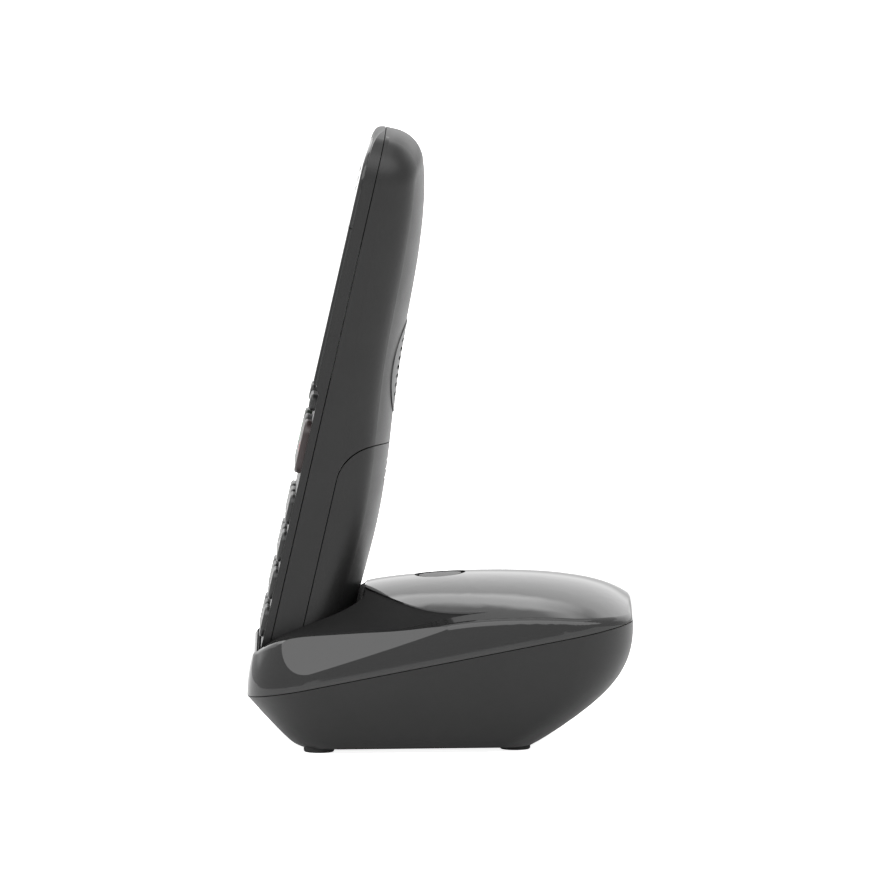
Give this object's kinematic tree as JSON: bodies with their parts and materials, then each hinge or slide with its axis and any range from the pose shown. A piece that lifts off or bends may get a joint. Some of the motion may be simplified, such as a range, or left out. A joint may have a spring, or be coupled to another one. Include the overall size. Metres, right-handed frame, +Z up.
{
  "type": "cordless phone with base",
  "caption": "Dark cordless handset standing tilted in a wedge-shaped charging base, with pressing keys, sliding battery cover and sprung charge contacts.",
  "frame": {"origin": "on the table, below the middle of the base", "axes": "+X across the phone, to the right of a person who faces the keypad; +Y to the rear of the base; +Z up"},
  "size_m": [0.086, 0.106, 0.1695],
  "materials": {
    "case_matte": "fine spark-eroded texture, dark grey",
    "cradle_matte": "fine texture, near black",
    "gloss_shell": "polished, dark grey",
    "gloss_face": "polished, dark grey",
    "display_glass": "polished window",
    "keycap": "satin keys with light legends",
    "keycap_green": "satin key with a green symbol",
    "keycap_red": "satin key with a red symbol",
    "speaker_grille": "satin, slotted",
    "paging_rubber": "satin, dark",
    "rubber": "matt rubber",
    "board": "green circuit laminate",
    "component": "black moulded",
    "lcd": "grey-green display glass",
    "contact_metal": "bright plated spring strip",
    "copper": "bare copper strip",
    "screw_steel": "zinc plated",
    "cell_wrap": "shrink-wrapped cell",
    "socket_plastic": "black moulded"
  },
  "bodies": {
    "base": {"lower_housing": "case_matte", "upper_shell": "gloss_shell", "cradle_insert": "cradle_matte", "base_board": "board", "paging_switch": "component", "base_antenna": "copper", "line_socket": "socket_plastic", "power_socket": "socket_plastic", "rubber_feet": "rubber", "base_screws": "screw_steel"},
    "paging_key": {"paging_key": "paging_rubber"},
    "charge_contact_left": {"charge_contact_left": "contact_metal"},
    "charge_contact_right": {"charge_contact_right": "contact_metal"},
    "handset": {"front_housing": "case_matte", "rear_housing": "case_matte", "display_lens": "display_glass", "earpiece_trim": "gloss_face", "receiver": "component", "lcd_module": "lcd", "main_board": "board", "keypad_mat": "rubber", "battery_cells": "cell_wrap", "battery_contacts": "contact_metal", "rear_speaker": "component", "speaker_cover": "speaker_grille", "microphone": "component", "handset_contacts": "contact_metal", "handset_antenna": "copper", "handset_screws": "screw_steel"},
    "battery_door": {"battery_door": "case_matte"},
    "key_1": {"key_1": "keycap"},
    "key_2": {"key_2": "keycap"},
    "key_3": {"key_3": "keycap"},
    "key_4": {"key_4": "keycap"},
    "key_5": {"key_5": "keycap"},
    "key_6": {"key_6": "keycap"},
    "key_7": {"key_7": "keycap"},
    "key_8": {"key_8": "keycap"},
    "key_9": {"key_9": "keycap"},
    "key_star": {"key_star": "keycap"},
    "key_0": {"key_0": "keycap"},
    "key_hash": {"key_hash": "keycap"},
    "talk_key": {"talk_key": "keycap_green"},
    "nav_key": {"nav_key": "keycap"},
    "end_key": {"end_key": "keycap_red"},
    "soft_key_left": {"soft_key_left": "keycap"},
    "soft_key_right": {"soft_key_right": "keycap"}
  },
  "joints": [
    {"name": "handset_lift", "type": "slide", "parent": "base", "child": "handset", "axis": [0, 0.2215, 0.9751], "range_m": [0, 0.06]},
    {"name": "battery_door_slide", "type": "slide", "parent": "handset", "child": "battery_door", "axis": [0, -0.2215, -0.9751], "range_m": [0, 0.004]},
    {"name": "key_1_press", "type": "slide", "parent": "handset", "child": "key_1", "axis": [0, 0.9751, -0.2215], "range_m": [0, 0.0008], "stiffness_N_per_m": 900},
    {"name": "key_2_press", "type": "slide", "parent": "handset", "child": "key_2", "axis": [0, 0.9751, -0.2215], "range_m": [0, 0.0008], "stiffness_N_per_m": 900},
    {"name": "key_3_press", "type": "slide", "parent": "handset", "child": "key_3", "axis": [0, 0.9751, -0.2215], "range_m": [0, 0.0008], "stiffness_N_per_m": 900},
    {"name": "key_4_press", "type": "slide", "parent": "handset", "child": "key_4", "axis": [0, 0.9751, -0.2215], "range_m": [0, 0.0008], "stiffness_N_per_m": 900},
    {"name": "key_5_press", "type": "slide", "parent": "handset", "child": "key_5", "axis": [0, 0.9751, -0.2215], "range_m": [0, 0.0008], "stiffness_N_per_m": 900},
    {"name": "key_6_press", "type": "slide", "parent": "handset", "child": "key_6", "axis": [0, 0.9751, -0.2215], "range_m": [0, 0.0008], "stiffness_N_per_m": 900},
    {"name": "key_7_press", "type": "slide", "parent": "handset", "child": "key_7", "axis": [0, 0.9751, -0.2215], "range_m": [0, 0.0008], "stiffness_N_per_m": 900},
    {"name": "key_8_press", "type": "slide", "parent": "handset", "child": "key_8", "axis": [0, 0.9751, -0.2215], "range_m": [0, 0.0008], "stiffness_N_per_m": 900},
    {"name": "key_9_press", "type": "slide", "parent": "handset", "child": "key_9", "axis": [0, 0.9751, -0.2215], "range_m": [0, 0.0008], "stiffness_N_per_m": 900},
    {"name": "key_star_press", "type": "slide", "parent": "handset", "child": "key_star", "axis": [0, 0.9751, -0.2215], "range_m": [0, 0.0008], "stiffness_N_per_m": 900},
    {"name": "key_0_press", "type": "slide", "parent": "handset", "child": "key_0", "axis": [0, 0.9751, -0.2215], "range_m": [0, 0.0008], "stiffness_N_per_m": 900},
    {"name": "key_hash_press", "type": "slide", "parent": "handset", "child": "key_hash", "axis": [0, 0.9751, -0.2215], "range_m": [0, 0.0008], "stiffness_N_per_m": 900},
    {"name": "talk_key_press", "type": "slide", "parent": "handset", "child": "talk_key", "axis": [0, 0.9751, -0.2215], "range_m": [0, 0.0008], "stiffness_N_per_m": 900},
    {"name": "nav_key_press", "type": "slide", "parent": "handset", "child": "nav_key", "axis": [0, 0.9751, -0.2215], "range_m": [0, 0.0008], "stiffness_N_per_m": 900},
    {"name": "end_key_press", "type": "slide", "parent": "handset", "child": "end_key", "axis": [0, 0.9751, -0.2215], "range_m": [0, 0.0008], "stiffness_N_per_m": 900},
    {"name": "soft_key_left_press", "type": "slide", "parent": "handset", "child": "soft_key_left", "axis": [0, 0.9751, -0.2215], "range_m": [0, 0.0008], "stiffness_N_per_m": 900},
    {"name": "soft_key_right_press", "type": "slide", "parent": "handset", "child": "soft_key_right", "axis": [0, 0.9751, -0.2215], "range_m": [0, 0.0008], "stiffness_N_per_m": 900},
    {"name": "paging_key_press", "type": "slide", "parent": "base", "child": "paging_key", "axis": [0, 0, -1], "range_m": [0, 0.001], "stiffness_N_per_m": 900},
    {"name": "charge_contact_left_press", "type": "slide", "parent": "base", "child": "charge_contact_left", "axis": [0, -0.2215, -0.9751], "range_m": [0, 0.0008], "stiffness_N_per_m": 700},
    {"name": "charge_contact_right_press", "type": "slide", "parent": "base", "child": "charge_contact_right", "axis": [0, -0.2215, -0.9751], "range_m": [0, 0.0008], "stiffness_N_per_m": 700}
  ]
}
